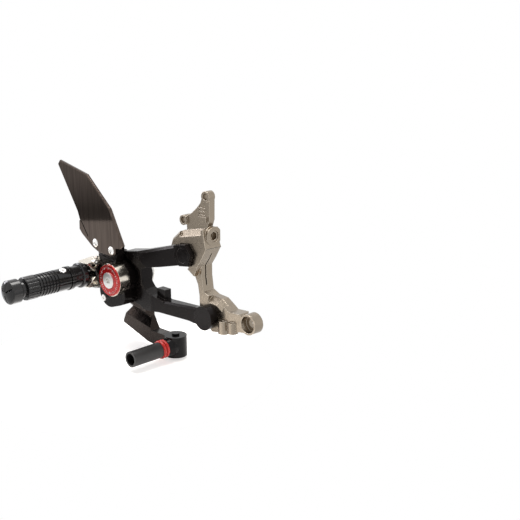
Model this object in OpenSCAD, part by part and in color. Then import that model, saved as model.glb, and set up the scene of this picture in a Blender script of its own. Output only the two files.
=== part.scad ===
// Adjustable rear-set footrest, brake side.
// Frame: origin on the axis of the lower frame bore, at the face that meets the motorcycle's frame.
// +X points to the front wheel, -Y points outboard and +Z up.

/* [Stack from the frame outwards] */
// Thickness of the hanger plate
hanger_t = 14; // [12:0.5:18]
// How far the hanger's back stands inboard of the lower ring lug's face
hang_back = 3; // [0:0.5:4]
// Thickness of the bracket's two ends, where they lie on the hanger
pad_t = 9.5; // [8:0.5:11]
// Thickness of the black bracket
arm_t = 14; // [11:0.5:18]
// Height of the raised face on the upper arm
rail_h = 2; // [1:0.5:4]
// Depth of the pocket round the hub
pocket_d = 4; // [3:0.5:6]
// Thickness of the carrier's disc behind the drum
disc_t = 10; // [8:0.5:14]
// Height of the carrier's ear and lug above its disc
ear_rise = 6; // [4:0.5:9]
// Length of the hub drum
drum_l = 12.5; // [9:0.5:18]
// Thickness of the red ring
ring_t = 1.5; // [1:0.25:3]

/* [Hub] */
// Distance from the lower frame bore back to the hub axis
hub_back = 165; // [155:1:175]
// Height of the hub axis above the lower frame bore
hub_up = 16.5; // [12:0.5:21]
// Radius of the hub drum
drum_r = 17; // [15:0.5:18]
// Radius of the pivot bolt
pivot_r = 5; // [4:0.5:6]
// Radius of the pivot bolt's head
pivot_head_r = 8.2; // [7:0.2:9]
// Radius of the plate round the hub
plate_r = 24; // [21:0.5:27]

/* [Hanger] */
// Radius of the lower ring lug
ring_lug_r = 10; // [9.4:0.2:12]
// Radius of the counterbore for the frame bolt's head
frame_head_r = 8.2; // [7.4:0.2:8.8]
// Radius of the lower frame bore
frame_bore_r = 4.2; // [3.2:0.1:5.2]
// Length of the lower frame bore
frame_bore_l = 4; // [3:0.5:6]
// Distance from the lower frame bore back to the upper frame bore
top_back = 55.7; // [52:0.5:60]
// Height of the upper frame bore above the lower one
top_up = 114; // [108:0.5:120]
// Radius of the upper lug
top_lug_r = 5.4; // [5:0.2:6.4]
// Thickness of the upper web and its lugs
web_t = 7; // [6:0.5:10]
// Distance from the lower frame bore back to the side lug's hole
side_back = 86.5; // [83:0.5:90]
// Height of the side lug's hole above the lower frame bore
side_up = 87; // [84:0.5:90]
// Radius of the side lug
side_lug_r = 5; // [4.6:0.2:6]
// Radius of the holes in the upper lug and the side lug
small_bore_r = 3.2; // [2.6:0.1:3.6]
// Radius of the boss that points to the front
boss_r = 9.5; // [8.5:0.25:11]
// Height of the boss above the lower frame bore
boss_up = 75.7; // [73:0.5:78]
// Radius of the plug in the boss
plug_r = 5.75; // [5:0.25:6]
// Width of the strut
strut_w = 8; // [6:0.5:10]

/* [Bracket] */
// Distance from the lower frame bore back to the upper arm's bolt
up_bolt_back = 78; // [75:0.5:81]
// Height of the upper arm's bolt above the lower frame bore
up_bolt_up = 54.5; // [52:0.5:57]
// Distance from the lower frame bore back to the lower arm's bolt
low_bolt_back = 51.5; // [49:0.5:54]
// Radius of the two bracket bolts
bolt_r = 4; // [3:0.5:5]
// Radius of the two bracket bolts' heads
bolt_head_r = 6.5; // [5.5:0.25:7.5]
// Radius to the corners of the hexagonal cap
cap_r = 12.5; // [11:0.5:14]
// Radius of the round end of the lower arm
low_end_r = 12; // [11:0.5:13]
// Height of the upper arm
up_arm_h = 16; // [13:0.5:19]
// Height of the lower arm
low_arm_h = 14; // [12:0.5:17]
// Radius of the lever's stop pin
stop_r = 3; // [2:0.25:4]

/* [Footpeg hinge] */
// Distance from the hub axis back to the hinge pin
pin_back = 33; // [31:0.5:36]
// Height of the footpeg's axis above the hub axis
peg_up = 1.5; // [-2:0.5:4]
// Distance from the pocket floor out to the hinge pin
pin_out = 15; // [13:0.5:18]
// Radius of the hinge pin
pin_r = 2.5; // [2:0.25:3]
// Width of the fork's wings
fork_w = 16; // [14:0.5:18]
// Half height of the fork at its root
fork_h = 15.5; // [14:0.5:18]
// Reach of the wings from the hinge pin
wing_reach = 18; // [16:0.5:20]
// Radius of the tongue's barrel
barrel_r = 6.6; // [5.5:0.2:7]
// Half height of the tongue's barrel
barrel_h = 9; // [7:0.5:10]

/* [Footpeg] */
// Radius of the collar
collar_r = 13; // [12:0.5:14]
// Radius of the peg's body
peg_r = 11.5; // [10:0.5:12]
// Radius of the spigot inside the peg
spigot_r = 6.5; // [5:0.5:8]
// Length of the plain stretch with the screw
plain_l = 15; // [12:0.5:20]
// Length of the ribbed stretch
ribbed_l = 22; // [16:0.5:28]
// Length of the fluted band
fluted_l = 14; // [10:0.5:18]
// Length of the neck before the end knob
neck_l = 6; // [4:0.5:8]
// Length of the end knob
knob_l = 15; // [12:0.5:18]
// Radius of the end knob
knob_r = 12; // [11:0.5:13]

/* [Heel guard] */
// Thickness of the heel guard
guard_t = 3; // [2:0.5:4]
// Height of the guard's tip above the hub axis
guard_tip_up = 113.5; // [105:0.5:120]
// Distance from the hub axis back to the guard's tip
guard_tip_back = 83.5; // [78:0.5:90]
// Radius of the two guard screws' heads
guard_head_r = 4.2; // [3.4:0.2:5]
// Distance between the two guard screws
guard_pitch = 26; // [24:0.5:28]

/* [Lever] */
// Thickness of the brake lever
lever_t = 12; // [10:0.5:14]
// Radius of the lever's boss
lever_boss_r = 14; // [13.5:0.5:16]
// Outer radius of the bush that the lever turns on
bush_r = 7; // [6.5:0.25:8]
// Wall of the bearing sleeve in the lever
sleeve_w = 2; // [1.5:0.25:2.5]
// Wire diameter of the return spring
spring_wire = 2; // [1.5:0.1:2.2]
// Radius of the bore for the brake cylinder's rod
rod_bore_r = 3; // [2.5:0.1:3.5]

/* [Toe peg] */
// Distance from the hub axis forward to the toe hinge
toe_fwd = 59; // [56:0.5:64]
// Depth of the toe peg's axis below the hub axis
toe_down = 64; // [61:0.5:66]
// Radius of the toe knuckle
knuckle_r = 11.5; // [10.5:0.5:12.5]
// Radius of the lever's rounded end inside the knuckle
tongue_r = 7.5; // [6.5:0.25:8]
// Radius of the toe hinge's pin
toe_pin_r = 2.5; // [2:0.25:3]
// Radius of the toe tube
toe_r = 8; // [7:0.25:8.5]
// Wall of the toe tube
toe_wall = 2; // [1.25:0.25:3]
// Half height of the lever's rounded end
tongue_h = 6; // [5:0.5:7]
// Length of the toe tube
toe_l = 36; // [28:1:42]
// Section radius of the rubber rings
oring_r = 1.7; // [1.3:0.1:2.2]

/* [Hidden] */
$fn = 64;

// Running clearance between a shaft and its hole, on the radius
run_gap = 0.05;
// Gap between faces that pass each other
face_gap = 0.3;
// Overlap of cuts past a face
past = 1;

// Levels along Y, from the frame outwards
y_hang = hang_back - hanger_t;
y_arm = y_hang - arm_t;
y_rail = y_arm - rail_h;
y_floor = y_arm + pocket_d;
y_disc = y_floor - disc_t;
y_ear = y_disc - ear_rise;
y_drum = y_disc - drum_l;
y_ring = y_drum - ring_t;

// Hub, hinge and lever places
hub_x = -hub_back;
hub_z = hub_up;
pin_x = -pin_back;
pin_y = y_floor - pin_out;
carrier_left = pin_x + fork_w / 2;
lever_y0 = y_hang + 0.5;
lever_y1 = lever_y0 + lever_t;
neck_side = 2.5;
toe_y = lever_y0 + neck_side;
up_bolt = [-up_bolt_back, up_bolt_up];
low_bolt = [-low_bolt_back, -3.5];

// Plate with the outline given in X and Z, from y0 inboard by t
module plate(y0, t) {
    translate([0, y0 + t, 0])
        rotate([90, 0, 0])
            linear_extrude(height = t)
                children();
}

// Round bar along Y from y0 inboard by l, at x and z
module rod(x, z, y0, l, r) {
    translate([x, y0 + l, z])
        rotate([90, 0, 0])
            cylinder(h = l, r = r);
}

// Diamond that cuts a chamfer c along the edge from p to q on the face at y0
module bevel(p, q, c, y0) {
    run = q - p;
    translate([p.x, y0, p.y])
        rotate([0, -atan2(run.y, run.x), 0])
            translate([-past, 0, 0])
                rotate([45, 0, 0])
                    translate([0, -c * sqrt(0.5), -c * sqrt(0.5)])
                        cube([norm(run) + 2 * past, c * sqrt(2), c * sqrt(2)]);
}

// Chamfers along a chain of outline points, every other one a hair deeper so that corners stay clean
module bevels(pts, c, y0) {
    for (i = [0 : len(pts) - 2])
        bevel(pts[i], pts[i + 1], c + 0.04 * (i % 2), y0);
}

// Straight bar with round ends, in the plane
module link2d(p, q, rp, rq) {
    run = q - p;
    lean = acos((rp - rq) / norm(run));
    along = atan2(run.y, run.x);
    function rim(c, r, a) = c + r * [cos(along + a), sin(along + a)];
    translate(p)
        circle(r = rp);
    translate(q)
        circle(r = rq);
    polygon([rim(p, rp, lean), rim(q, rq, lean), rim(q, rq, -lean), rim(p, rp, -lean)]);
}

module at_hub() {
    translate([hub_x, 0, hub_z])
        children();
}

module at_pin() {
    translate([hub_x + pin_x, pin_y, hub_z + peg_up])
        children();
}

module at_toe() {
    translate([hub_x + toe_fwd, toe_y, hub_z - toe_down])
        children();
}

// Turned shape about the footpeg's axis, with the profile given as [radius, distance from the pin]
module peg_turned() {
    rotate([90, 0, 0])
        rotate_extrude()
            children();
}

// Coil of round wire about Z with straight tangs at its two ends
module coil(r, wire, turns, pitch, tang_a, tang_b) {
    sides = 8;
    steps = ceil(turns * 20);
    function spin(i) = 360 * turns * i / steps;
    function eye(a) = [r * cos(a), r * sin(a), pitch * a / 360];
    function along(a) = [-sin(a), cos(a), 0];
    function ring(c, a) = [for (k = [0 : sides - 1])
        c + wire / 2 * (cos(360 * k / sides) * [cos(a), sin(a), 0] + sin(360 * k / sides) * [0, 0, 1])];
    last = 360 * turns;
    rings = concat(
        [ring(eye(0) - tang_a * along(0), 0)],
        [for (i = [0 : steps]) ring(eye(spin(i)), spin(i))],
        [ring(eye(last) + tang_b * along(last), last)]);
    count = len(rings);
    pts = [for (one = rings) each one];
    walls = [for (i = [0 : count - 2], k = [0 : sides - 1])
        [i * sides + k, i * sides + (k + 1) % sides,
            (i + 1) * sides + (k + 1) % sides, (i + 1) * sides + k]];
    start = [[for (k = [sides - 1 : -1 : 0]) k]];
    finish = [[for (k = [0 : sides - 1]) (count - 1) * sides + k]];
    polyhedron(points = pts, faces = concat(walls, start, finish), convexity = 6);
}

// Hexagonal socket cut, from the face at y0 inboard by depth
module socket_y(across, y0, depth) {
    translate([0, y0 + depth, 0])
        rotate([90, 0, 0])
            cylinder(h = depth + past, r = across / sqrt(3), $fn = 6);
}

// Place measured from the hub
function from_hub(x, z) = [hub_x + x, hub_z + z];

// Outline of the hanger's thick body, strut and lower arm
raise_t = 6;
strut_left = [from_hub(86, 26), from_hub(92.5, 18.5), from_hub(97.5, 9), from_hub(99.5, -2)];
strut_right = strut_left[2] + [strut_w - 2.5, 8.5];
body_tip = from_hub(64.5, 45);
body_front = -51.2;
body_back_top = from_hub(78.5, 60.5);
boss_y = y_hang + hanger_t / 2 - 1;
boss_l = 7.7;
plug_l = 10;
body_pts = [
    body_tip,
    body_tip + [2.5, 6],
    body_back_top,
    [body_front - 2.4, boss_up + boss_r - 1.7],
    [body_front + 0.7, boss_up - boss_r + 1.4],
    [body_front + 2.2, boss_up - boss_r - 2],
    from_hub(116, 48.5),
    from_hub(109, 37),
    strut_right + [0, 11],
    strut_right,
    [strut_right.x + 2, 20],
    [-51.8, 16.3],
    [-39.5, 15.3],
    [-32, 10.8],
    [-25.9, 6.7],
    [-11, ring_lug_r - 2.4],
    [0, 0],
    [-4, 1 - ring_lug_r],
    [-9.9, -9.7],
    [-26.4, -13.9],
    [-40.5, -17.3],
    low_bolt + [3, -low_end_r - 3],
    low_bolt + [-2, -low_end_r + 1.5],
    low_bolt + [1.5 - low_end_r, -3],
    [strut_left[3].x, 2],
    strut_left[3],
    strut_left[2],
    strut_left[1],
    strut_left[0],
    from_hub(80, 30)];

// Hexagonal end of the upper arm, grown by gap
module hex_end(gap) {
    translate(up_bolt)
        rotate(9)
            circle(r = cap_r + gap, $fn = 6);
}

module hanger() {
    web_y0 = y_hang + 1;
    column_r = 5.5;
    color([0.56, 0.52, 0.47])
        difference() {
            union() {
                plate(y_hang, hanger_t)
                    polygon(body_pts);
                plate(y_hang - raise_t, raise_t)
                    polygon(concat(
                        [for (i = [0 : 8]) body_pts[i]],
                        [strut_left[1] + [6, 0], strut_left[0]]));
                rod(0, 0, y_hang, -y_hang, ring_lug_r);
                rod(low_bolt.x, low_bolt.y, y_hang, hanger_t, low_end_r - 1.5);
                for (i = [0, 1])
                    translate([low_bolt.x + low_end_r + 6.5 + 12.5 * i, y_hang + 1, -16.5 + 3 * i])
                        cylinder(h = 13 - 2 * i, r = column_r - 0.5 * i);
                plate(web_y0, web_t)
                    polygon([
                        [-top_back - top_lug_r + 0.6, top_up],
                        [-63.5, 107],
                        [-68.6, 101.5],
                        [-75.9, 95.5],
                        [-side_back + 2.5, side_up + side_lug_r - 1],
                        [-side_back + side_lug_r - 1, side_up - side_lug_r - 8],
                        [-62, boss_up],
                        [body_front - 4, boss_up + 6],
                        [-top_back + top_lug_r - 1, top_up - 22],
                        [-top_back + top_lug_r - 0.6, top_up]]);
                rod(-top_back, top_up, y_hang, web_t + 1, top_lug_r);
                rod(-side_back, side_up, y_hang - 1, web_t + 2, side_lug_r);
                translate([body_front - 6.5, boss_y, boss_up])
                    rotate([0, 90, 0])
                        cylinder(h = boss_l, r = boss_r);
                translate([-64, y_hang - 1, boss_up + 14])
                    cube([10, 6, 4.5]);
            }
            plate(y_hang - raise_t - past, raise_t + past) {
                hex_end(0.4);
                polygon([arm_top[1] + [0, 0.4], arm_top[2] + [0, 0.4], up_bolt + [-4, cap_r * 0.8],
                    up_bolt + [4, -cap_r], up_bolt + [-12, -24], arm_top[1] + [0, -30]]);
            }
            rod(low_bolt.x, low_bolt.y, y_hang - 20, 20, low_end_r + 0.4);
            rod(0, 0, y_hang - past, -y_hang - frame_bore_l + past, frame_head_r);
            rod(0, 0, y_hang, past - y_hang, frame_bore_r);
            translate([-ring_lug_r - 2, 0, -ring_lug_r - 1])
                cube([2 * ring_lug_r, hang_back + past, 2 * ring_lug_r + 2]);
            rod(-top_back, top_up, y_hang - past, web_t + 1 + 2 * past, small_bore_r);
            rod(-side_back, side_up, y_hang - 1 - past, web_t + 2 + 2 * past, small_bore_r);
            for (p = [up_bolt, low_bolt]) {
                rod(p.x, p.y, y_hang - past, hanger_t + 2 * past, bolt_r + 0.2);
                rod(p.x, p.y, hang_back - 8, 8 + past, bolt_head_r + 0.3);
            }
            translate([body_front + 1.2 - plug_l, boss_y, boss_up])
                rotate([0, 90, 0])
                    cylinder(h = plug_l + past, r = plug_r + 0.02);
            translate([body_front - 20, hang_back, boss_up - 20])
                cube([40, 20, 40]);
            bevels([body_pts[0], body_pts[1], body_pts[2]], 2, y_hang - raise_t);
            bevel(body_pts[2], body_pts[3] - [4, 0], 6, y_hang - raise_t);
            bevels([body_pts[11], body_pts[12], body_pts[13]], 6, y_hang);
            plate(y_hang + 4.6, 1.6)
                polygon([
                    strut_right + [-2.5, -9],
                    strut_right + [10, -9],
                    body_pts[7] + [10, 5],
                    body_pts[7] + [-2, 5],
                    strut_right + [-2.5, 12]]);
            for (i = [0 : 3])
                translate([-66.5, web_y0 - 0.5, top_up - 11.5 - i * 3.4])
                    cube([9.5, 1.5, 1.7]);
        }
}

module boss_plug() {
    color([0.6, 0.57, 0.52])
        translate([body_front + 1.2 - plug_l, boss_y, boss_up])
            rotate([0, 90, 0])
                difference() {
                    cylinder(h = plug_l - 0.8, r = plug_r);
                    translate([0, 0, plug_l - 6])
                        cylinder(h = 8, r = 4.4, $fn = 6);
                }
}

// Edges of the bracket's two arms and of the window between them
arm_top = [from_hub(2.7, 28), from_hub(25.7, 32.2), from_hub(71, 45)];
arm_low = [up_bolt + [-3, -cap_r * 0.85], from_hub(55, 20.6), from_hub(36.2, 17), from_hub(28, 14)];
window_pts = [from_hub(28, -1), from_hub(33, -6.5), from_hub(43, -11)];
low_top = [from_hub(59, -14.5), from_hub(99, -12.5)];

module bracket_outline() {
    polygon(concat(
        [from_hub(-12, 22)],
        arm_top,
        [up_bolt + [0, cap_r * 0.8], up_bolt],
        arm_low,
        window_pts,
        low_top,
        [low_bolt + [-1, low_end_r - 1.6], low_bolt + [-1, 1.2 - low_end_r],
            from_hub(92, -13.5 - low_arm_h), from_hub(53, -13 - low_arm_h), from_hub(33, -15 - low_arm_h),
            from_hub(10, -26.4), from_hub(-6, -22)]));
    translate([hub_x, hub_z])
        circle(r = plate_r);
}

// Slanted room outboard of an arm, from the distance x in front of the hub, with a chamfer along its top edge
module arm_slant(x, y0, tilt, low, high, top_a, top_b, c) {
    translate([hub_x + x, y0, hub_z])
        rotate([0, 0, tilt]) {
            translate([0, -20, low])
                cube([110, 20, high - low]);
            bevel(top_a - [x, 0], top_b - [x, 0], c, 0);
        }
}

module main_bracket() {
    inner_step = [from_hub(-40, 40), from_hub(-24, 29), from_hub(0, 21), from_hub(20.5, 9.5),
        from_hub(22.5, 0), from_hub(23, -21), from_hub(23, -45), from_hub(-40, -45)];
    outer_step = [from_hub(-40, 50), from_hub(-24, 36), from_hub(4, 24), from_hub(25, 12),
        from_hub(26.8, 1), from_hub(26.8, -21), from_hub(26.8, -45), from_hub(-40, -45)];
    raised = concat(
        [from_hub(7, 28.5)],
        [arm_top[1], arm_top[2], up_bolt],
        [arm_low[0], arm_low[1], arm_low[2]]);
    color([0.1, 0.1, 0.105])
        difference() {
            union() {
                difference() {
                    union() {
                        plate(y_floor, arm_t - pocket_d)
                            bracket_outline();
                        plate(y_arm + pocket_d / 2, pocket_d / 2)
                            difference() {
                                bracket_outline();
                                polygon(inner_step);
                            }
                        plate(y_arm, pocket_d / 2)
                            difference() {
                                bracket_outline();
                                polygon(outer_step);
                            }
                        plate(y_rail, rail_h)
                            polygon(raised);
                    }
                    arm_slant(30, y_rail, 9, 5, 60, [25.7, 32.2], [72, 45.1], 2.6);
                    arm_slant(42, y_arm, 6.5, -45, -8, [60, -14.4], [100, -12.4], 2);
                }
                plate(y_hang - pad_t, pad_t) {
                    hex_end(0);
                    translate(low_bolt)
                        circle(r = low_end_r);
                }
                plate(y_hang - 8, 8)
                    polygon([from_hub(45, -16), from_hub(45, -4), from_hub(57, -4), from_hub(57, -16)]);
            }
            rod(hub_x, hub_z, y_floor - past, arm_t, pivot_r + run_gap);
            for (p = [up_bolt, low_bolt])
                rod(p.x, p.y, y_hang - pad_t + 1.5, pad_t, bolt_r + 0.02);
            rod(hub_x + 19, hub_z - 21.5, y_hang - 8, 8 + past, stop_r);
            bevel(from_hub(7, 28.5), arm_low[2], 1.6, y_rail);
        }
}

module upper_cap() {
    cap_t = 1.5;
    color([0.08, 0.08, 0.085])
        translate([up_bolt.x, y_hang - pad_t, up_bolt.y])
            rotate([90, -9, 0])
                difference() {
                    cylinder(h = cap_t, r = cap_r - 0.4, $fn = 6);
                    translate([0, 0, cap_t - 0.3])
                        cylinder(h = 1, r = cap_r * 0.6);
                }
}

// Cap screw along Y with its head inboard
module arm_bolt(p) {
    head_y = hang_back - 8;
    color([0.72, 0.72, 0.7])
        difference() {
            union() {
                rod(p.x, p.y, y_hang - pad_t + 2, pad_t + hanger_t - 2 - 7.5, bolt_r);
                rod(p.x, p.y, head_y, 7, bolt_head_r);
            }
            translate([p.x, head_y + 7 + past, p.y])
                rotate([90, 0, 0])
                    cylinder(h = 4 + past, r = 3.4, $fn = 6);
        }
}

module upper_bolt() {
    arm_bolt(up_bolt);
}

module lower_bolt() {
    arm_bolt(low_bolt);
}

module stop_pin() {
    color([0.75, 0.75, 0.74])
        rod(hub_x + 19, hub_z - 21.5, y_hang - 8, 8 + lever_t - 2, stop_r);
}

module peg_carrier() {
    lug_a = [-11, -17];
    lug_b = [3, -16];
    color([0.12, 0.12, 0.125])
        at_hub()
            difference() {
                union() {
                    rod(0, 0, y_disc, disc_t, drum_r);
                    plate(y_ear, disc_t + ear_rise)
                        polygon([
                            [carrier_left, -16],
                            [carrier_left, 18.5],
                            [-8, 18.5],
                            [0, 14],
                            [0, 0],
                            [-6, -16]]);
                    plate(y_ear, y_rail - face_gap - y_ear)
                        polygon([
                            [carrier_left, 16],
                            [carrier_left, 18.5],
                            [-26, 20.5],
                            [-26, 26.5],
                            [-31.5, 31],
                            [-31, 39],
                            [-20, 40],
                            [5, 35.5],
                            [5, 28],
                            [2, 19],
                            [2, 16]]);
                    plate(y_ear, disc_t + ear_rise)
                        link2d(lug_a, lug_b, 15.5, 12);
                }
                rod(0, 0, y_ear - past, ear_rise + past, drum_r + 0.15);
                plate(y_ear - past, disc_t + ear_rise + 2 * past)
                    polygon([
                        [carrier_left - 20, peg_up - fork_h - face_gap],
                        [carrier_left, peg_up - fork_h - face_gap],
                        [carrier_left, 18.5],
                        [carrier_left - 20, 18.5]]);
                rod(0, 0, y_ear, disc_t + ear_rise + past, pivot_r + run_gap);
                rod(-17.9, -23.7, y_ear - past, 9 + past, 2.1);
                for (i = [0, 1])
                    rod(guard_hole(i).x, guard_hole(i).y, y_ear - past, 9 + past, 2.1);
                for (i = [-1, 1])
                    translate([carrier_left - past, y_floor - 4.5, peg_up + i * 9])
                        rotate([0, 90, 0])
                            cylinder(h = 11, r = 2);
                bevel([-25, 22.6], [4, 18.6], 0.8, y_ear);
            }
}

module carrier_screw() {
    color([0.85, 0.85, 0.84])
        at_hub()
            difference() {
                union() {
                    rod(-17.9, -23.7, y_ear, 8, 2);
                    rod(-17.9, -23.7, y_ear - 2.4, 2.4, 3.4);
                }
                translate([-17.9, 0, -23.7])
                    socket_y(2.5, y_ear - 2.4, 1.6);
            }
}

module hub_drum() {
    color([0.8, 0.77, 0.7])
        at_hub()
            difference() {
                rod(0, 0, y_drum, drum_l, drum_r);
                rod(0, 0, y_drum - past, drum_l + 2 * past, pivot_r + run_gap);
                rod(0, 0, y_drum - past, 2 + past, pivot_head_r + 0.2);
            }
}

module hub_ring() {
    color([0.75, 0.05, 0.05])
        at_hub()
            difference() {
                rod(0, 0, y_ring, ring_t, drum_r - 0.8);
                rod(0, 0, y_ring - past, ring_t + 2 * past, pivot_head_r + 0.4);
            }
}

module pivot_bolt() {
    head_y = y_ring - 1.2;
    color([0.9, 0.9, 0.89])
        at_hub()
            difference() {
                union() {
                    rod(0, 0, head_y, y_drum + 2 - head_y, pivot_head_r);
                    rod(0, 0, y_drum + 1, -y_drum - 1 + 12, pivot_r);
                }
                socket_y(6, head_y, 4);
            }
}

module pivot_bush() {
    color([0.72, 0.55, 0.3])
        at_hub()
            difference() {
                rod(0, 0, y_hang, lever_t + 1.5, bush_r);
                rod(0, 0, y_hang - past, lever_t + 3.5, pivot_r + run_gap);
            }
}

module spring_plate() {
    y0 = lever_y1 + 1;
    color([0.7, 0.7, 0.69])
        at_hub()
            difference() {
                rod(0, 0, y0, 2, lever_boss_r - 1);
                rod(0, 0, y0 - past, 2 + 2 * past, pivot_r + run_gap);
            }
}

module pivot_nut() {
    y0 = lever_y1 + 3;
    color([0.78, 0.78, 0.77])
        at_hub()
            difference() {
                union() {
                    translate([0, y0 + 7, 0])
                        rotate([90, 0, 0])
                            cylinder(h = 6, r = pivot_r + 4.2, $fn = 6);
                    rod(0, 0, y0, 1.5, pivot_r + 4.6);
                }
                rod(0, 0, y0 - past, 8 + 2 * past, pivot_r + run_gap);
            }
}

coil_r = bush_r + sleeve_w + 0.7 + spring_wire;
module return_spring() {
    color([0.6, 0.6, 0.62])
        at_hub()
            translate([0, lever_y1 + 1 - face_gap - spring_wire / 2, 0])
                rotate([90, 0, 0])
                    coil(coil_r, spring_wire, 1.5, spring_wire + 0.2, 0, 0);
}

// Half height of the space inside the fork, at a distance from the pin
slot_h = barrel_h + 0.2;
waist_h = 3.3;
module fork_space() {
    flare_h = collar_r - 0.4;
    rotate_extrude()
        polygon([[0, -slot_h], [8.3, -slot_h], [9.8, -waist_h], [10.6, -waist_h],
            [wing_reach + 0.6, -flare_h], [wing_reach + 8, -flare_h],
            [wing_reach + 8, flare_h], [wing_reach + 0.6, flare_h],
            [10.6, waist_h], [9.8, waist_h], [8.3, slot_h], [0, slot_h]]);
}

module peg_fork() {
    half = fork_w / 2;
    tip_h = collar_r - 0.2;
    color([0.82, 0.78, 0.71])
        at_pin()
            difference() {
                intersection() {
                    translate([-half, 0, 0])
                        rotate([90, 0, 90])
                            linear_extrude(height = fork_w)
                                polygon([[-wing_reach, -tip_h], [pin_out, -fork_h],
                                    [pin_out, fork_h], [-wing_reach, tip_h]]);
                    union() {
                        translate([0, 0, -fork_h - 1])
                            cylinder(h = 2 * fork_h + 2, r = wing_reach);
                        translate([-half, 0, -fork_h - 1])
                            cube([fork_w, pin_out + 1, 2 * fork_h + 2]);
                    }
                }
                fork_space();
                translate([-half - past, -30, -waist_h])
                    cube([fork_w + 2 * past, 30 + 4, 2 * waist_h]);
                for (s = [-1, 1])
                    translate([-half - past, -8, s * 9.6])
                        rotate([0, 90, 0])
                            cylinder(h = fork_w + 2 * past, r = 2.7);
                translate([half - 4, -pin_side, peg_lock_up])
                    rotate([0, 90, 0])
                        cylinder(h = 4 + past, r = 1.6);
                translate([0, 0, -fork_h - past])
                    cylinder(h = 2 * fork_h + 2 * past, r = pin_r + 0.01);
                for (s = [-1, 1])
                    translate([-half - past, pin_out - 4.5, s * 9]) {
                        rotate([0, 90, 0])
                            cylinder(h = fork_w + 2 * past, r = 2.2);
                        rotate([0, 90, 0])
                            cylinder(h = 5 + past, r = 3.8);
                    }
            }
}

// The grub screw that locks the hinge pin, on the fork's front face
pin_side = 6.5;
peg_lock_up = 13.1;
module lock_screw() {
    color([0.85, 0.85, 0.84])
        at_pin()
            translate([fork_w / 2, -pin_side, peg_lock_up])
                rotate([0, 90, 0])
                    difference() {
                        union() {
                            translate([0, 0, -3.6])
                                cylinder(h = 4, r = 1.55);
                            cylinder(h = 1.2, r = 2.6);
                        }
                        translate([0, 0, 0.2])
                            cylinder(h = 2, r = 1.3, $fn = 6);
                    }
}

module fork_screws() {
    color([0.75, 0.75, 0.74])
        at_pin()
            for (s = [-1, 1])
                translate([5 - fork_w / 2, pin_out - 4.5, s * 9])
                    rotate([0, 90, 0])
                        difference() {
                            union() {
                                translate([0, 0, -4])
                                    cylinder(h = 4, r = 3.5);
                                translate([0, 0, -0.1])
                                    cylinder(h = fork_w - 5 + 8, r = 2);
                            }
                            translate([0, 0, -4 - past])
                                cylinder(h = 2 + past, r = 1.7, $fn = 6);
                        }
}

module fold_pin() {
    color([0.85, 0.85, 0.84])
        at_pin()
            union() {
                translate([0, 0, -fork_h - 2.5])
                    cylinder(h = 2 * fork_h + 3.5, r = pin_r);
                translate([0, 0, fork_h])
                    cylinder(h = 1.8, r = pin_r + 1.5);
            }
}

module fold_clip() {
    color([0.5, 0.5, 0.52])
        at_pin()
            translate([0, 0, -fork_h - 1.7])
                difference() {
                    cylinder(h = 1, r = pin_r + 2);
                    translate([0, 0, -past])
                        cylinder(h = 1 + 2 * past, r = pin_r);
                    translate([-1, 0, -past])
                        cube([2, 8, 1 + 2 * past]);
                }
}

module fold_spring() {
    color([0.6, 0.6, 0.62])
        at_pin()
            translate([0, 0, barrel_h - 3.4])
                coil(pin_r + 1.9, 1, 2.5, 1.1, 0, 0);
}

// Guard screw places, measured from the hub
function guard_hole(i) = [-26.2 + i * guard_pitch, 34 - 3.6 * i];

module heel_guard() {
    tip = [-guard_tip_back, guard_tip_up];
    edge = [
        tip,
        tip + [46.5, -9.5],
        [-0.6, 73.4],
        [18.4, 38],
        [14.9, 34.8],
        [6.4, 33.5],
        [6.4, 28.6],
        [3.6, 25.4],
        [-1, 24.3],
        [-22.4, 25.4],
        [-31.7, 28.9],
        [-49.2, 40.3],
        [-53.2, 44.6],
        [-52.8, 54.5],
        [-56, 62.6],
        tip + [-3.5, -4.3]];
    color([0.13, 0.12, 0.115])
        at_hub()
            difference() {
                plate(y_ear - guard_t, guard_t)
                    polygon(edge);
                for (i = [0, 1])
                    rod(guard_hole(i).x, guard_hole(i).y, y_ear - guard_t - past,
                        guard_t + 2 * past, 2.2);
                plate(y_ear - guard_t - past, guard_t + 2 * past)
                    link2d([-50, 54], [-39, 39], 0.75, 0.75);
                bevels([edge[15], edge[0], edge[1], edge[2]], 1, y_ear - guard_t);
                bevel(edge[2], edge[3], 1.4, y_ear - guard_t);
                bevel(edge[3], edge[4], 1, y_ear - guard_t);
                bevels([edge[13], edge[14], edge[15]], 1, y_ear - guard_t);
            }
}

module guard_screws() {
    y0 = y_ear - guard_t;
    color([0.87, 0.87, 0.86])
        at_hub()
            for (i = [0, 1])
                translate([guard_hole(i).x, 0, guard_hole(i).y])
                    difference() {
                        union() {
                            rod(0, 0, y0, guard_t + 8, 2);
                            translate([0, y0, 0])
                                rotate([90, 0, 0])
                                    intersection() {
                                        cylinder(h = 2.2, r = guard_head_r);
                                        translate([0, 0, -guard_head_r * 0.9])
                                            sphere(r = guard_head_r * 1.45);
                                    }
                        }
                        socket_y(2.5, y0 - 2.4, 1.8);
                    }
}

// Stations of the footpeg, as distances from the hinge pin
at_collar = wing_reach + 1;
at_groove = at_collar + 5;
at_flange = at_groove + 10;
at_plain = at_flange + 4;
at_ribs = at_plain + plain_l;
at_flutes = at_ribs + ribbed_l;
at_neck = at_flutes + fluted_l;
at_knob = at_neck + neck_l;
at_end = at_knob + knob_l;

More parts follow.
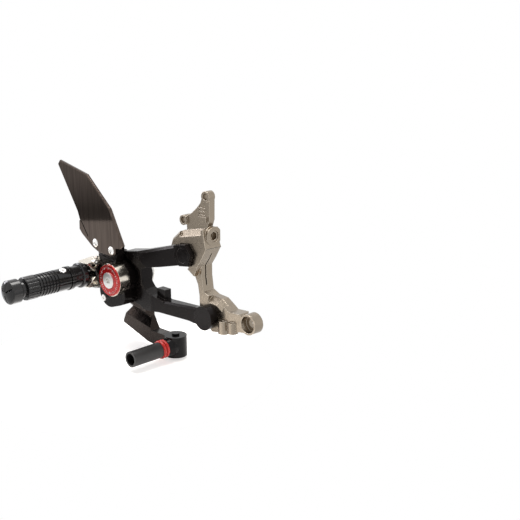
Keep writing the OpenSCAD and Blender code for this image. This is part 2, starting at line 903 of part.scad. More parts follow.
module peg_tongue() {
    color([0.09, 0.09, 0.095])
        at_pin()
            difference() {
                union() {
                    translate([0, 0, -barrel_h])
                        cylinder(h = 2 * barrel_h, r = barrel_r);
                    translate([-5, -at_collar, 0.5 - waist_h])
                        cube([10, at_collar, 2 * waist_h - 1]);
                    peg_turned()
                        polygon([[0, 10], [2.4, 10], [collar_r - 1.4, at_collar],
                            [collar_r, at_collar], [collar_r, at_groove - 1],
                            [collar_r - 1, at_groove], [peg_r - 0.5, at_groove],
                            [peg_r - 0.5, at_flange], [peg_r + 0.8, at_flange],
                            [peg_r + 0.8, at_plain], [spigot_r, at_plain],
                            [spigot_r, at_neck], [0, at_neck]]);
                }
                translate([0, 0, -barrel_h - past])
                    cylinder(h = 2 * barrel_h + 2 * past, r = pin_r + 1 + 0.01);
                translate([0, 0, barrel_h - 4])
                    cylinder(h = 4 + past, r = pin_r + 2.6);
                rotate([90, 0, 0])
                    translate([0, 0, at_neck - 14])
                        cylinder(h = 14 + past, r = 2.5);
                peg_screw_place()
                    translate([0, 0, -4])
                        cylinder(h = 12, r = 1.6);
            }
}

module tongue_bush() {
    color([0.75, 0.58, 0.32])
        at_pin()
            translate([0, 0, -barrel_h])
                difference() {
                    cylinder(h = 2 * barrel_h - 4.2, r = pin_r + 1);
                    translate([0, 0, -past])
                        cylinder(h = 2 * barrel_h + 2 * past, r = pin_r + run_gap);
                }
}

// The side screw of the peg points up and a little forward
module peg_screw_place() {
    translate([0, -at_plain - 6.5, 0])
        rotate([0, 22, 0])
            translate([0, 0, spigot_r])
                children();
}

module peg_sleeve() {
    rib = ribbed_l / 6;
    color([0.08, 0.08, 0.085])
        at_pin()
            difference() {
                peg_turned()
                    polygon(concat(
                        [[spigot_r + 0.02, at_plain], [peg_r - 0.6, at_plain], [peg_r, at_plain + 0.6],
                            [peg_r, at_ribs]],
                        [for (i = [0 : 5]) each [
                            [peg_r - 1, at_ribs + i * rib],
                            [peg_r - 1, at_ribs + (i + 0.4) * rib],
                            [peg_r, at_ribs + (i + 0.55) * rib],
                            [peg_r, at_ribs + (i + 1) * rib]]],
                        [[peg_r - 1, at_flutes], [peg_r - 1, at_flutes + 1], [peg_r + 0.3, at_flutes + 1],
                            [peg_r + 0.3, at_neck - 0.8], [peg_r - 0.5, at_neck],
                            [spigot_r + 0.02, at_neck]]));
                for (i = [0 : 17])
                    rotate([90, i * 20, 0])
                        translate([peg_r + 0.9, 0, at_flutes + 1])
                            cylinder(h = fluted_l, r = 1.2);
                peg_screw_place()
                    translate([0, 0, -past])
                        cylinder(h = 12, r = 1.7);
                peg_screw_place()
                    translate([0, 0, 3])
                        cylinder(h = 12, r = 3.7);
                translate([-2, -at_ribs - 4, -peg_r - 1])
                    cube([4, 13, 3.5]);
            }
}

module peg_screw() {
    color([0.88, 0.88, 0.87])
        at_pin()
            peg_screw_place()
                difference() {
                    union() {
                        translate([0, 0, -3.5])
                            cylinder(h = 7.5, r = 1.5);
                        translate([0, 0, 3])
                            cylinder(h = 2.6, r = 3.5);
                    }
                    translate([0, 0, 4.2])
                        cylinder(h = 3, r = 1.5, $fn = 6);
                }
}

module peg_knob() {
    rise = 3.2;
    dome_r = (pow(knob_r - 1, 2) + pow(rise, 2)) / (2 * rise);
    color([0.07, 0.07, 0.075])
        at_pin()
            difference() {
                union() {
                    peg_turned()
                        polygon([[0, at_neck], [peg_r - 3, at_neck], [peg_r - 3, at_knob],
                            [knob_r - 1, at_knob], [knob_r, at_knob + 1],
                            [knob_r, at_end - rise - 1], [knob_r - 1, at_end - rise],
                            [0, at_end - rise]]);
                    rotate([90, 0, 0])
                        intersection() {
                            translate([0, 0, at_end - dome_r])
                                sphere(r = dome_r);
                            translate([0, 0, at_end - rise - 0.5])
                                cylinder(h = rise + 1, r = knob_r - 1);
                        }
                    rotate([90, 0, 0])
                        translate([0, 0, at_neck - 12])
                            cylinder(h = 13, r = 2.45);
                }
                for (i = [0 : 2])
                    rotate([90, i * 120 + 90, 0])
                        translate([2.5, -0.8, at_end - 4])
                            cube([knob_r, 1.6, 6]);
            }
}

// Outline of the lever, measured from the hub
lever_tail = [-23.3, -58.1];
module lever_outline() {
    circle(r = lever_boss_r);
    polygon([
        [-lever_boss_r, -2],
        [-14, -38.3],
        lever_tail,
        [17.6, -70.3],
        [38, -72],
        [toe_fwd - 12, -toe_down - tongue_h],
        [toe_fwd, -toe_down - tongue_h],
        [toe_fwd, tongue_h - toe_down],
        [38, tongue_h - toe_down + 1],
        [23, -57],
        [15, -44.5],
        [15, -36],
        [24, -30],
        [24, -21.5 - stop_r - face_gap],
        [13.2, -21.5 - stop_r - face_gap],
        [13.2, -4]]);
    link2d([0, 0], [-30, 12], 10, 7);
}

module lever_arm() {
    color([0.25, 0.235, 0.225])
        at_hub()
            difference() {
                union() {
                    plate(lever_y0, lever_t)
                        lever_outline();
                    translate([toe_fwd, toe_y, -toe_down - tongue_h])
                        cylinder(h = 2 * tongue_h, r = tongue_r);
                }
                rod(0, 0, lever_y0 - past, lever_t + 2 * past, bush_r + sleeve_w + 0.01);
                rod(0, 0, lever_y1 - 5, 5 + past, coil_r + spring_wire / 2 + 0.5);
                rod(-30, 12, lever_y0 - past, lever_t + 2 * past, rod_bore_r);
                translate([toe_fwd, toe_y, -toe_down - tongue_h - past])
                    cylinder(h = 2 * tongue_h + 2 * past, r = toe_pin_r + 0.01);
                bevel([-17, -40], [24, -48], 7, lever_y0);
                lever_clearance();
            }
}

// Room round the lever's rounded end for the knuckle to turn in
module lever_clearance() {
    room_h = 30;
    translate([toe_fwd, toe_y, -toe_down])
        difference() {
            translate([0, 0, -room_h / 2])
                cylinder(h = room_h, r = knuckle_r + 0.6);
            translate([0, 0, -tongue_h])
                cylinder(h = 2 * tongue_h, r = tongue_r);
            translate([-knuckle_r - 5, -neck_side, -tongue_h])
                cube([knuckle_r + 5, lever_t, 2 * tongue_h]);
        }
}

module lever_sleeve() {
    color([0.7, 0.6, 0.4])
        at_hub()
            difference() {
                rod(0, 0, lever_y0, lever_t - 1, bush_r + sleeve_w);
                rod(0, 0, lever_y0 - past, lever_t + 2 * past, bush_r + run_gap);
            }
}

// Half height of the knuckle, the room for its washer and the fold of the toe peg
washer_t = 0.6;
knuckle_up = 10.8;
fold_toe = 45;
module toe_pin() {
    color([0.85, 0.85, 0.84])
        at_toe()
            union() {
                translate([0, 0, -knuckle_up - 2.5])
                    cylinder(h = 2 * knuckle_up + 2.5 + 1, r = toe_pin_r);
                translate([0, 0, knuckle_up + face_gap])
                    cylinder(h = 1.6, r = toe_pin_r + 1.4);
            }
}

module toe_washer() {
    color([0.6, 0.6, 0.62])
        at_toe()
            translate([0, 0, tongue_h + 0.2])
                difference() {
                    cylinder(h = washer_t, r = tongue_r - 1);
                    translate([0, 0, -past])
                        cylinder(h = washer_t + 2 * past, r = toe_pin_r + 0.01);
                }
}

module toe_clip() {
    color([0.5, 0.5, 0.52])
        at_toe()
            translate([0, 0, -knuckle_up - 1.7])
                difference() {
                    cylinder(h = 1, r = toe_pin_r + 2);
                    translate([0, 0, -past])
                        cylinder(h = 1 + 2 * past, r = toe_pin_r);
                    translate([-1, 0, -past])
                        cube([2, 8, 1 + 2 * past]);
                }
}

cone_start = 9;
tube_start = 23;
spigot_l = 8;
module toe_knuckle() {
    slot_low = -tongue_h - face_gap;
    slot_up = 2 * tongue_h + washer_t + 2 * face_gap + 0.1;
    side_step = (neck_side + 0.6) * [sin(fold_toe), -cos(fold_toe)];
    color([0.07, 0.07, 0.075])
        at_toe()
            difference() {
                union() {
                    translate([0, 0, -knuckle_up])
                        cylinder(h = 2 * knuckle_up, r = knuckle_r);
                    rotate([90, 0, 0])
                        rotate_extrude()
                            polygon([[0, 4], [knuckle_r - 1, 4], [knuckle_r - 1, cone_start],
                                [toe_r, tube_start - 9], [toe_r, tube_start],
                                [toe_r - toe_wall, tube_start],
                                [toe_r - toe_wall, tube_start + spigot_l],
                                [0, tube_start + spigot_l]]);
                }
                translate([0, 0, slot_low])
                    linear_extrude(height = slot_up) {
                        circle(r = tongue_r + 0.6);
                        polygon([
                            [0, 16],
                            [-16, 16],
                            [-16, -0.6 - neck_side],
                            20 * [-cos(fold_toe), -sin(fold_toe)],
                            side_step + 20 * [-cos(fold_toe), -sin(fold_toe)],
                            side_step]);
                    }
                translate([0, 0, -knuckle_up - past])
                    cylinder(h = 2 * knuckle_up + 2 * past, r = toe_pin_r + run_gap);
                rotate([90, 0, 0])
                    translate([0, 0, tube_start - 4])
                        cylinder(h = 20, r = 2.5);
                for (i = [0, 1])
                    ring_groove(i);
            }
}

// Seats of the two rubber rings at the root of the tube
module ring_groove(i) {
    rotate([90, 0, 0])
        translate([0, 0, tube_start - 2 - i * 4])
            rotate_extrude()
                translate([toe_r - 0.2, 0])
                    circle(r = oring_r);
}

module toe_tube() {
    color([0.1, 0.1, 0.1])
        at_toe()
            rotate([90, 0, 0])
                translate([0, 0, tube_start])
                    difference() {
                        cylinder(h = toe_l, r = toe_r);
                        translate([0, 0, -past])
                            cylinder(h = toe_l + 2 * past, r = toe_r - toe_wall + 0.01);
                    }
}

module toe_rings() {
    color([0.7, 0.04, 0.04])
        at_toe()
            for (i = [0, 1])
                ring_groove(i);
}

module toe_bolt() {
    color([0.8, 0.8, 0.79])
        at_toe()
            rotate([90, 0, 0])
                difference() {
                    union() {
                        translate([0, 0, tube_start - 3.5])
                            cylinder(h = spigot_l + 4, r = 2.45);
                        translate([0, 0, tube_start + spigot_l])
                            cylinder(h = 4, r = 4.2);
                    }
                    translate([0, 0, tube_start + spigot_l + 2])
                        cylinder(h = 3, r = 2.3, $fn = 6);
                }
}

hanger();
boss_plug();
main_bracket();
upper_cap();
upper_bolt();
lower_bolt();
stop_pin();
peg_carrier();
carrier_screw();
hub_drum();
hub_ring();
pivot_bolt();
pivot_bush();
spring_plate();
pivot_nut();
return_spring();
peg_fork();
fork_screws();
lock_screw();
fold_pin();
fold_clip();
fold_spring();
heel_guard();
guard_screws();
peg_tongue();
tongue_bush();
peg_sleeve();
peg_screw();
peg_knob();
lever_arm();
lever_sleeve();
toe_pin();
toe_clip();
toe_knuckle();
toe_tube();
toe_rings();
toe_bolt();
toe_washer();
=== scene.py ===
# %% [markdown]
# # A rear-set footrest, dressed for its picture
#
# The part is a motorcycle's rear set: a grey hanger that screws to the frame, a black bracket, a hub that
# carries the folding footpeg and the heel guard, and a brake lever with a small folding toe peg.
# Its solids come from the CAD model, so this script never builds them again.
# It gives each of them the finish of the real piece, adds the painted index marks that a CAD model
# leaves out, and sets up the floor, the lamps and the camera.

# %% Load the CAD model
import bpy
import bmesh
import math
from mathutils import Matrix, Vector


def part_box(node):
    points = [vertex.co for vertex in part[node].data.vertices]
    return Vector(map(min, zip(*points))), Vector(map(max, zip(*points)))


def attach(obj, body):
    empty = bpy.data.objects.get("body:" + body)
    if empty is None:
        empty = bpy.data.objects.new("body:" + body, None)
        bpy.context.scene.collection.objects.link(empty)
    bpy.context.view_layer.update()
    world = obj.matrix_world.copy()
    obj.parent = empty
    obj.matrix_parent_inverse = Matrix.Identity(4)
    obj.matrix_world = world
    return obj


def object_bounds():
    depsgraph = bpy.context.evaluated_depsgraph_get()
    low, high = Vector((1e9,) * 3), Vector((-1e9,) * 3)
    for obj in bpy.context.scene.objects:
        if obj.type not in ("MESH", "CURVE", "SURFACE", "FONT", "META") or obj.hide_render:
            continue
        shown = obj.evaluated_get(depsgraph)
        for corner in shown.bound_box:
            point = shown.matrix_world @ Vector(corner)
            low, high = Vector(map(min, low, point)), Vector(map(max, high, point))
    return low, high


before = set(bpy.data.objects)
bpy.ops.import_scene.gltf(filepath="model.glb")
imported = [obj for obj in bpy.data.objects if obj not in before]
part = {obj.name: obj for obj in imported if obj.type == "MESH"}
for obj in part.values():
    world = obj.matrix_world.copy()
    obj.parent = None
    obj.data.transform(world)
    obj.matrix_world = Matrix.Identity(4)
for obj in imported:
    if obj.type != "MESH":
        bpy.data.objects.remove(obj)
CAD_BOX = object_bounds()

MM = 0.001
print("CAD nodes:", len(part))

# %% [markdown]
# ## Where the hub sits
#
# Many pieces are placed from the hub, because that is how the real rear set is measured: the hub is the
# centre of the adjustment, and everything else hangs round it. The ring's own box gives its place, so the
# script never repeats a number that the CAD model already holds.

# %% Find the hub
ring_low, ring_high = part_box("hub_ring")
HUB = (ring_low + ring_high) / 2
HUB.y = ring_low.y
RING_R = (ring_high.x - ring_low.x) / 2
print("hub face at", [round(c / MM, 1) for c in HUB], "mm, ring radius", round(RING_R / MM, 1), "mm")

# %% [markdown]
# ## Small tools for making a finish
#
# A finish on a machined part has three layers: the colour, which is never quite even; the roughness, which
# shows how the light spreads; and tiny relief such as tool marks. Writing the nodes out by hand for each
# finish would hide that. A small class keeps the links short, and each finish below reads as a recipe.


# %% A tidy way to write a finish
class Finish:
    """One material, built step by step from its nodes."""

    def __init__(self, name, colour, metal=0.0, rough=0.5):
        self.mat = bpy.data.materials.new(name)
        self.mat.use_nodes = True
        self.nodes = self.mat.node_tree.nodes
        self.links = self.mat.node_tree.links
        self.shader = self.nodes["Principled BSDF"]
        self.place = self.nodes.new("ShaderNodeTexCoord").outputs["Object"]
        self.shader.inputs["Base Color"].default_value = (*colour, 1)
        self.shader.inputs["Metallic"].default_value = metal
        self.shader.inputs["Roughness"].default_value = rough
        self.colour = None
        self.base = (*colour, 1)
        self.height = None
        self.round_normal = None

    def node(self, kind, **inputs):
        """Add a node, and fill the sockets that are named."""
        made = self.nodes.new(kind)
        for key, value in inputs.items():
            self.feed(made.inputs[key.replace("_", " ")], value)
        return made

    def feed(self, socket, value):
        """Link another node's output to a socket, or write a plain value on it."""
        if isinstance(value, bpy.types.NodeSocket):
            self.links.new(value, socket)
        else:
            socket.default_value = value

    def stretched(self, sx, sy, sz):
        """The piece's own coordinates, scaled along each axis."""
        return self.node("ShaderNodeMapping", Vector=self.place, Scale=(sx, sy, sz)).outputs[0]

    def noise(self, scale, detail=3.0, where=None):
        made = self.node("ShaderNodeTexNoise", Vector=where or self.place, Scale=scale, Detail=detail)
        return made.outputs["Fac"]

    def spread(self, value, low, high, span=(0.3, 0.7)):
        """Map a value that lies in the span to the range from low to high."""
        made = self.node("ShaderNodeMapRange", Value=value)
        for key, number in zip(("From Min", "From Max", "To Min", "To Max"), (*span, low, high)):
            made.inputs[key].default_value = number
        return made.outputs[0]

    def math(self, kind, a, b=0.0):
        made = self.nodes.new("ShaderNodeMath")
        made.operation = kind
        self.feed(made.inputs[0], a)
        self.feed(made.inputs[1], b)
        return made.outputs[0]

    def tint(self, mask, other):
        """Blend another colour over the piece where the mask is 1."""
        made = self.nodes.new("ShaderNodeMix")
        made.data_type = "RGBA"
        self.links.new(mask, made.inputs[0])
        if self.colour is None:
            made.inputs[6].default_value = self.base
        else:
            self.links.new(self.colour, made.inputs[6])
        made.inputs[7].default_value = (*other, 1)
        self.colour = made.outputs[2]
        self.links.new(self.colour, self.shader.inputs["Base Color"])
        return self

    def rough(self, value):
        self.links.new(value, self.shader.inputs["Roughness"])
        return self

    def relief(self, value, depth):
        """Add a height, in metres, to the fine relief."""
        scaled = self.math("MULTIPLY", value, depth)
        self.height = scaled if self.height is None else self.math("ADD", self.height, scaled)
        return self

    def soft_edges(self, radius):
        """Round the sharp edges of a CAD solid in the shading, and return a mask of where they are, for
        painting highlights along them.
        """
        bevel = self.nodes.new("ShaderNodeBevel")
        bevel.samples = 6
        bevel.inputs["Radius"].default_value = radius
        flat = self.nodes.new("ShaderNodeNewGeometry").outputs["Normal"]
        dot = self.nodes.new("ShaderNodeVectorMath")
        dot.operation = "DOT_PRODUCT"
        self.links.new(bevel.outputs[0], dot.inputs[0])
        self.links.new(flat, dot.inputs[1])
        self.round_normal = bevel.outputs[0]
        return self.spread(dot.outputs["Value"], 1.0, 0.0, (0.75, 0.995))

    def done(self):
        """Join the relief and the soft edges, and hand the material over."""
        normal = self.round_normal
        if self.height is not None:
            bump = self.nodes.new("ShaderNodeBump")
            bump.inputs["Distance"].default_value = 1.0
            self.links.new(self.height, bump.inputs["Height"])
            if normal is not None:
                self.links.new(normal, bump.inputs["Normal"])
            normal = bump.outputs[0]
        if normal is not None:
            self.links.new(normal, self.shader.inputs["Normal"])
        return self.mat


def wear(piece_names, material):
    """Give CAD nodes their finish."""
    for name in piece_names.split():
        mesh = part[name].data
        mesh.materials.clear()
        mesh.materials.append(material)
    print(material.name, "on", piece_names)


# %% [markdown]
# ## The hanger: satin grey with a bronze cast
#
# The hanger is milled from plate and anodised in a warm grey. Milled flats keep a trace of the cutter:
# fine, nearly parallel arcs. A wave texture bent by noise gives those arcs, far too shallow to see as
# grooves but enough to break up a reflection. The sharp edges are painted a shade paler: partly the polish
# that handling leaves, and partly a painted highlight for the light they catch.

# %% Grey anodised finish
def grey_anodised():
    skin = Finish("grey_anodised", (0.315, 0.266, 0.21), metal=1.0, rough=0.3)
    edge = skin.soft_edges(0.7 * MM)
    skin.tint(skin.spread(skin.noise(28, 4), 0.0, 0.45), (0.25, 0.21, 0.163))
    # Paler edges: the polish that handling leaves, plus a painted highlight along them.
    skin.tint(skin.math("MULTIPLY", edge, 0.45), (0.80, 0.74, 0.65))
    skin.rough(skin.spread(skin.noise(240, 3), 0.23, 0.33))
    arcs = skin.node("ShaderNodeTexWave", Vector=skin.place, Scale=150.0, Distortion=4.0, Detail=1.0)
    arcs.inputs["Detail Scale"].default_value = 0.4
    skin.relief(arcs.outputs["Fac"], 0.0006 * MM)
    skin.relief(skin.noise(900, 2), 0.0008 * MM)
    return skin.done()


wear("hanger boss_plug", grey_anodised())

# %% [markdown]
# ## Black anodised parts
#
# Black anodising is a dye in a glassy oxide layer over aluminium. It is almost black, with a weak mirror on
# top that only shows on faces seen at a slant. So the body colour stays dark, the metallic value is low, and
# the specular level sits well under the usual half. The lever is dyed thinner, and more metal shows through.
# The sharp edges carry a painted highlight: a paler colour where they would catch the light.

# %% Black anodised finish
def black_anodised(name, colour, rough, edge_highlight_colour, metal):
    skin = Finish(name, colour, metal=metal, rough=rough)
    edge = skin.soft_edges(0.5 * MM)
    skin.tint(skin.spread(skin.noise(45, 4), 0.0, 0.5), tuple(1.6 * c for c in colour))
    # Painted highlight: the edges are tinted paler, as if they caught the light.
    skin.tint(skin.math("MULTIPLY", edge, 0.5), edge_highlight_colour)
    skin.rough(skin.spread(skin.noise(200, 3), rough - 0.05, rough + 0.07))
    skin.relief(skin.noise(1200, 2), 0.0005 * MM)
    skin.shader.inputs["Specular IOR Level"].default_value = 0.13
    return skin.done()


wear("main_bracket upper_cap peg_carrier",
     black_anodised("black_anodised", (0.0105, 0.0085, 0.0083), 0.22, (0.11, 0.095, 0.09), 0.3))
wear("lever_arm", black_anodised("lever_anodised", (0.024, 0.0185, 0.016), 0.26, (0.13, 0.11, 0.10), 0.9))

# %% [markdown]
# ## Gloss black for the pegs
#
# The footpeg is polished before it is dyed, so it mirrors the lamps. The toe knuckle and its pin get the same
# recipe with less shine, because their flat tops are seen at a slant, where any polish would turn them white.

# %% Gloss black finish
def gloss_black(name, shine):
    skin = Finish(name, (0.008, 0.0075, 0.008), metal=0.0, rough=0.2)
    edge = skin.soft_edges(0.35 * MM)
    # Painted highlight: the edges are tinted paler, as if they caught the light.
    skin.tint(skin.math("MULTIPLY", edge, 0.4), (0.06, 0.055, 0.058))
    skin.rough(skin.spread(skin.noise(120, 4), 0.09, 0.2))
    skin.relief(skin.noise(700, 3), 0.0015 * MM)
    skin.shader.inputs["Specular IOR Level"].default_value = 0.5 * shine
    skin.shader.inputs["Coat Weight"].default_value = 0.5 * shine
    skin.shader.inputs["Coat Roughness"].default_value = 0.07
    return skin.done()


wear("peg_tongue peg_sleeve peg_knob", gloss_black("gloss_black", 0.6))
wear("toe_knuckle toe_pin", gloss_black("knuckle_black", 0.2))

# %% [markdown]
# ## The turned drum and the fork
#
# Both are bright aluminium. The drum comes from a lathe, so its marks run round the hub's axis. A wave
# texture along Y, sampled on the drum, gives those rings.

# %% Bright aluminium finish
def bright_aluminium(name, rough, lathe):
    skin = Finish(name, (0.79, 0.73, 0.64), metal=1.0, rough=rough)
    edge = skin.soft_edges(0.4 * MM)
    skin.tint(skin.spread(skin.noise(40, 3), 0.0, 0.4), (0.70, 0.65, 0.56))
    # Painted highlight: the edges are tinted paler, as if they caught the light.
    skin.tint(skin.math("MULTIPLY", edge, 0.4), (0.96, 0.93, 0.88))
    skin.rough(skin.spread(skin.noise(260, 2), rough - 0.05, rough + 0.07))
    marks = skin.node("ShaderNodeTexWave", Vector=skin.place, Scale=lathe, Distortion=0.4)
    marks.bands_direction = "Y"
    skin.relief(marks.outputs["Fac"], 0.0006 * MM)
    return skin.done()


wear("hub_drum", bright_aluminium("turned_aluminium", 0.17, 300.0))
wear("peg_fork", bright_aluminium("milled_aluminium", 0.3, 120.0))

# %% [markdown]
# ## The red ring
#
# The index ring is thin aluminium, dyed red and sealed to a gloss.

# %% Red anodised finish
def red_anodised():
    skin = Finish("red_anodised", (0.55, 0.012, 0.012), metal=0.55, rough=0.28)
    edge = skin.soft_edges(0.3 * MM)
    # Painted highlight: the edges are tinted a paler red, as if they caught the light.
    skin.tint(skin.math("MULTIPLY", edge, 0.5), (0.9, 0.25, 0.2))
    skin.rough(skin.spread(skin.noise(400, 3), 0.2, 0.34))
    skin.relief(skin.noise(2500, 2), 0.005 * MM)
    skin.shader.inputs["Coat Weight"].default_value = 0.4
    return skin.done()


wear("hub_ring", red_anodised())

# %% [markdown]
# ## The heel guard's weave
#
# The guard is a thin sheet with a fine weave of two sets of strips. Two wave textures at right angles,
# multiplied, come close at this scale, where each strip is far thinner than a pixel is wide in most views.
# The strands soak up resin unevenly, so darker streaks run up the sheet.

# %% Woven finish
def guard_weave():
    skin = Finish("guard_weave", (0.125, 0.098, 0.083), metal=1.0, rough=0.04)
    skin.soft_edges(0.3 * MM)
    along = skin.node("ShaderNodeTexWave", Vector=skin.place, Scale=190.0, Distortion=0.6)
    along.bands_direction = "X"
    across = skin.node("ShaderNodeTexWave", Vector=skin.place, Scale=190.0, Distortion=0.6)
    across.bands_direction = "Z"
    weft = skin.spread(across.outputs["Fac"], 0.55, 1.0, (0.0, 1.0))
    twill = skin.math("MULTIPLY", along.outputs["Fac"], weft)
    skin.tint(skin.spread(twill, 0.0, 0.7, (0.1, 0.9)), (0.085, 0.066, 0.056))
    streaks = skin.noise(1.0, 3, skin.stretched(520, 520, 22))
    skin.tint(skin.spread(streaks, 0.0, 0.6, (0.42, 0.68)), (0.05, 0.037, 0.031))
    skin.rough(skin.spread(twill, 0.03, 0.07, (0.0, 1.0)))
    skin.relief(twill, 0.0025 * MM)
    return skin.done()


wear("heel_guard", guard_weave())

# %% [markdown]
# ## Screws, pins, springs, bearings and rubber
#
# The small hardware is plain steel, bright zinc, drawn wire and bearing bronze. They differ mostly in
# colour and in how far they spread the light, so one recipe with a few numbers serves them all.

# %% Hardware finishes
def hardware(name, colour, rough, metal=1.0, grain=0.0015):
    skin = Finish(name, colour, metal=metal, rough=rough)
    edge = skin.soft_edges(0.25 * MM)
    skin.tint(skin.spread(skin.noise(90, 4), 0.0, 0.4), tuple(0.75 * c for c in colour))
    # Painted highlight: the edges are tinted brighter, as if they caught the light.
    skin.tint(skin.math("MULTIPLY", edge, 0.4), tuple(min(1.0, 1.25 * c) for c in colour))
    skin.rough(skin.spread(skin.noise(400, 2), rough - 0.05, rough + 0.08))
    skin.relief(skin.noise(1200, 2), grain * MM)
    return skin.done()


wear("upper_bolt lower_bolt stop_pin spring_plate fork_screws", hardware("steel", (0.55, 0.54, 0.52), 0.32))
wear("carrier_screw pivot_bolt pivot_nut fold_pin lock_screw guard_screws peg_screw toe_bolt",
     hardware("zinc", (0.93, 0.92, 0.90), 0.34))
wear("return_spring fold_clip fold_spring toe_clip toe_washer",
     hardware("spring_steel", (0.42, 0.42, 0.43), 0.38))
wear("pivot_bush tongue_bush lever_sleeve", hardware("bronze", (0.55, 0.38, 0.18), 0.35))
wear("toe_tube", hardware("tube_black", (0.010, 0.009, 0.009), 0.4, metal=0.0, grain=0.004))
wear("toe_rings", hardware("ring_rubber", (0.62, 0.018, 0.012), 0.28, metal=0.0, grain=0.01))

# %% [markdown]
# ## Index marks
#
# The hub is clamped at one of many angles, so its ring carries white index marks. They are thin filled
# strips. Each strip is a small prism with a slightly narrower top, which is how filled paint stands in an
# engraved line.

# %% A strip of paint
white_paint = hardware("white_paint", (0.86, 0.84, 0.82), 0.5, metal=0.0, grain=0.01)
SUNK = 0.02 * MM
TOP_SHARE = 0.94


def strip(bm, start, end, width, face_y, height):
    """Add one mark from start to end, both (x, z) in metres, standing on a face that looks towards -Y."""
    a, b = Vector(start), Vector(end)
    side = (b - a).normalized().orthogonal() * width / 2
    centre = (a + b) / 2
    outline = [a + side, b + side, b - side, a - side]
    narrowed = [centre + (p - centre) * TOP_SHARE for p in outline]
    ring = [bm.verts.new((p.x, face_y + SUNK, p.y)) for p in outline]
    top = [bm.verts.new((p.x, face_y - height, p.y)) for p in narrowed]
    bm.faces.new(top)
    bm.faces.new(ring[::-1])
    for k in range(4):
        bm.faces.new((ring[k], ring[(k + 1) % 4], top[(k + 1) % 4], top[k]))


def piece_from(bm, name, material, body):
    """Turn a finished bmesh into a named piece that rides on a body."""
    bmesh.ops.recalc_face_normals(bm, faces=bm.faces)
    mesh = bpy.data.meshes.new(name)
    bm.to_mesh(mesh)
    bm.free()
    mesh.materials.append(material)
    made = bpy.data.objects.new(name, mesh)
    bpy.context.scene.collection.objects.link(made)
    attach(made, body)
    print(name, len(mesh.polygons), "faces")
    return made


# %% [markdown]
# ## The marks in their circle
#
# A dividing head cuts one mark every ten degrees. Every third mark is longer and wider, so that an angle
# can be read at a glance.

# %% Marks round the ring
MARKS = 36
MARK_END = 1.9 * MM
MARK_HEIGHT = 0.05 * MM
LONG_MARK, SHORT_MARK = (4.4 * MM, 0.8 * MM), (3.4 * MM, 0.5 * MM)


def on_ring(radius, angle):
    return HUB.x + radius * math.cos(angle), HUB.z + radius * math.sin(angle)


marks = bmesh.new()
for k in range(MARKS):
    angle = 2 * math.pi * k / MARKS
    start, width = LONG_MARK if k % 3 == 0 else SHORT_MARK
    strip(marks, on_ring(RING_R - start, angle), on_ring(RING_R - MARK_END, angle), width, HUB.y, MARK_HEIGHT)
piece_from(marks, "ring_marks", white_paint, "bracket")

# %% [markdown]
# ## A round white table
#
# The part lies over a round white table, under the same lamps as the part, so it catches a soft shadow.
# To the camera, and in the metal that mirrors it, the table also glows a little. That turns it into clean
# white and leaves the shadow in place, with no more light on the part.

# %% Make the table
low, high = CAD_BOX
middle = (low + high) / 2
TABLE_R = 0.15
TABLE_GAP = 0.2 * MM
RIM_POINTS = 96
TABLE_GLOW = 0.56
table_mesh = bpy.data.meshes.new("table")
rim = [(middle.x + TABLE_R * math.cos(a), middle.y + TABLE_R * math.sin(a), low.z - TABLE_GAP)
       for a in (2 * math.pi * k / RIM_POINTS for k in range(RIM_POINTS))]
table_mesh.from_pydata(rim, [], [tuple(range(RIM_POINTS))])
table = bpy.data.objects.new("table", table_mesh)
bpy.context.scene.collection.objects.link(table)


SHOWS_WHITE = ["Is Camera Ray", "Is Glossy Ray", "Is Transmission Ray"]


def seen(nodes, links, kinds):
    """1 for the kinds of ray that are named, 0 for the rest."""
    path = nodes.new("ShaderNodeLightPath")
    total = path.outputs[kinds[0]]
    for kind in kinds[1:]:
        both = nodes.new("ShaderNodeMath")
        both.operation = "MAXIMUM"
        links.new(total, both.inputs[0])
        links.new(path.outputs[kind], both.inputs[1])
        total = both.outputs[0]
    return total


paper = Finish("table_paper", (0.74, 0.725, 0.71), rough=0.9)
paper.tint(paper.spread(paper.noise(3, 2), 0.0, 0.3), (0.71, 0.70, 0.69))
looking = seen(paper.nodes, paper.links, SHOWS_WHITE)
glow = paper.math("MULTIPLY", looking, TABLE_GLOW)
paper.shader.inputs["Emission Color"].default_value = (1.0, 0.985, 0.97, 1)
paper.links.new(glow, paper.shader.inputs["Emission Strength"])
table_mesh.materials.append(paper.done())
print("table radius", TABLE_R, "m")

# %% [markdown]
# ## The room
#
# A white sweep stands all round. Seen by the camera, in a mirror or through glass it is plain white, which
# is what the Light Path node asks for below. As a source of soft light it is bright only at the back, where
# the wall stands, so the faces that look at the camera keep their depth.

# %% Make the room
world = bpy.data.worlds.new("studio")
bpy.context.scene.world = world
world.use_nodes = True
room, wires = world.node_tree.nodes, world.node_tree.links
sky = room["Background"]
sky.inputs["Color"].default_value = (1, 1, 1, 1)
way = room.new("ShaderNodeTexCoord").outputs["Generated"]


def ramp(towards, from_low, from_high, to_low, to_high):
    """A smooth step in strength along one direction of the room."""
    dot = room.new("ShaderNodeVectorMath")
    dot.operation = "DOT_PRODUCT"
    wires.new(way, dot.inputs[0])
    dot.inputs[1].default_value = Vector(towards).normalized()
    step = room.new("ShaderNodeMapRange")
    step.interpolation_type = "SMOOTHSTEP"
    wires.new(dot.outputs["Value"], step.inputs["Value"])
    for key, number in zip(("From Min", "From Max", "To Min", "To Max"),
                           (from_low, from_high, to_low, to_high)):
        step.inputs[key].default_value = number
    return step.outputs[0]


def larger(a, b):
    """The larger of two strengths."""
    made = room.new("ShaderNodeMath")
    made.operation = "MAXIMUM"
    wires.new(a, made.inputs[0])
    wires.new(b, made.inputs[1])
    return made.outputs[0]


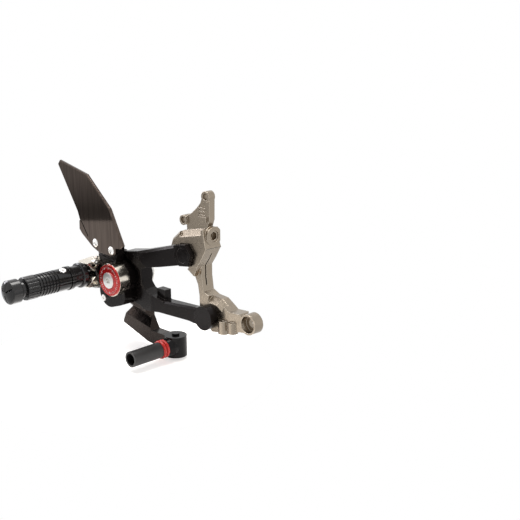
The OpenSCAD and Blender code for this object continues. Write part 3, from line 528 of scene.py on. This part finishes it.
wall = ramp((-0.35, 0.92, 0.2), -0.1, 0.75, 0.15, 1.0)
strength = larger(wall, seen(room, wires, SHOWS_WHITE))
wires.new(strength, sky.inputs["Strength"])
bpy.context.scene.view_settings.view_transform = "Standard"

# %% [markdown]
# ## A grey card at the front left
#
# In a room that is white all round, polished metal loses its form. A photographer stands a card just outside
# the picture, and the metal mirrors its edge. This card stands where the heel guard's face looks. It is
# darkest along its lower edge, so the guard is light below, steps to dark, and fades up again.

# %% Stand the card
CARD_AWAY = 0.9
CARD_LOW, CARD_HIGH = -0.134, 0.5
CARD_LEFT, CARD_RIGHT = -0.75, 0.03
CARD_DARK, CARD_PALE = 0.13, 0.5
CARD_FADE = (-0.11, -0.045)
away = Vector((-0.69, -0.72, 0)).normalized()
along = Vector((0.72, -0.69, 0)).normalized()
foot = Vector((HUB.x, HUB.y, 0)) + CARD_AWAY * away
corners = [foot + along * a + Vector((0, 0, z)) for a, z in
           ((CARD_LEFT, CARD_LOW), (CARD_RIGHT, CARD_LOW), (CARD_RIGHT, CARD_HIGH), (CARD_LEFT, CARD_HIGH))]
card_mesh = bpy.data.meshes.new("grey_card")
card_mesh.from_pydata(corners, [], [(0, 1, 2, 3)])
card = bpy.data.objects.new("grey_card", card_mesh)
bpy.context.scene.collection.objects.link(card)
card.visible_camera = False
board = Finish("card_board", (0.05, 0.05, 0.05), rough=0.9)
board.tint(board.spread(board.noise(4, 2), 0.0, 0.3), (0.06, 0.06, 0.06))
height = board.node("ShaderNodeSeparateXYZ", Vector=board.place).outputs["Z"]
shade = board.spread(height, CARD_DARK, CARD_PALE, CARD_FADE)
board.links.new(shade, board.shader.inputs["Emission Strength"])
board.shader.inputs["Emission Color"].default_value = (1, 1, 1, 1)
card_mesh.materials.append(board.done())
print("card stands at", [round(c, 2) for c in foot])

# %% [markdown]
# ## The lamps
#
# Big, soft lamps draw the edges of dark metal. One large panel hangs above and lights every facet that
# faces up. One stands at the left for the footpeg, and a smaller one gives the hanger its bright flanks.

# %% Soft lamps
def panel(name, place, aim, size, watts, colour):
    """Hang a rectangular lamp and point it at the part."""
    lamp = bpy.data.lights.new(name, "AREA")
    lamp.shape = "RECTANGLE"
    lamp.size, lamp.size_y = size
    lamp.energy = watts
    lamp.color = colour
    stand = bpy.data.objects.new(name, lamp)
    stand.location = place
    stand.rotation_mode = "QUATERNION"
    stand.rotation_quaternion = (Vector(aim) - Vector(place)).to_track_quat("-Z", "Y")
    bpy.context.scene.collection.objects.link(stand)


panel("top_panel", (middle.x - 0.15, middle.y + 0.05, 0.85), middle, (0.8, 0.6), 12, (1.0, 0.985, 0.96))
panel("left_panel", (-0.95, -0.35, 0.4), middle, (0.3, 0.6), 4.5, (0.95, 0.94, 1.0))
panel("right_panel", (0.75, 0.15, 0.3), middle, (0.3, 0.5), 2.5, (1.0, 0.98, 0.95))

# %% [markdown]
# ## The camera
#
# The camera's place was worked out from the picture: the round hub shows as an ellipse whose shape gives
# the viewing angle, and the sizes of near and far pieces give the distance.

# %% Camera
FOCAL_PX = 981.0
HUB_PX = (108.8, 280.5)
HUB_DEPTH = 1.0
IMAGE_PX = 520.0
SENSOR_MM = 36.0
azimuth, elevation = math.radians(44.0), math.radians(15.5)
right = Vector((math.cos(azimuth), math.sin(azimuth), 0))
level = math.cos(elevation)
back = Vector((math.sin(azimuth) * level, -math.cos(azimuth) * level, math.sin(elevation)))
up = back.cross(right)
centre = IMAGE_PX / 2
metres_per_px = HUB_DEPTH / FOCAL_PX
eye = (HUB + HUB_DEPTH * back - right * (HUB_PX[0] - centre) * metres_per_px
       - up * (centre - HUB_PX[1]) * metres_per_px)
camera_data = bpy.data.cameras.new("camera")
camera_data.sensor_width = SENSOR_MM
camera_data.lens = FOCAL_PX / IMAGE_PX * SENSOR_MM
camera = bpy.data.objects.new("camera", camera_data)
camera.matrix_world = Matrix.Translation(eye) @ Matrix((right, up, back)).transposed().to_4x4()
bpy.context.scene.collection.objects.link(camera)
bpy.context.scene.camera = camera
print("camera at", [round(c, 3) for c in eye])
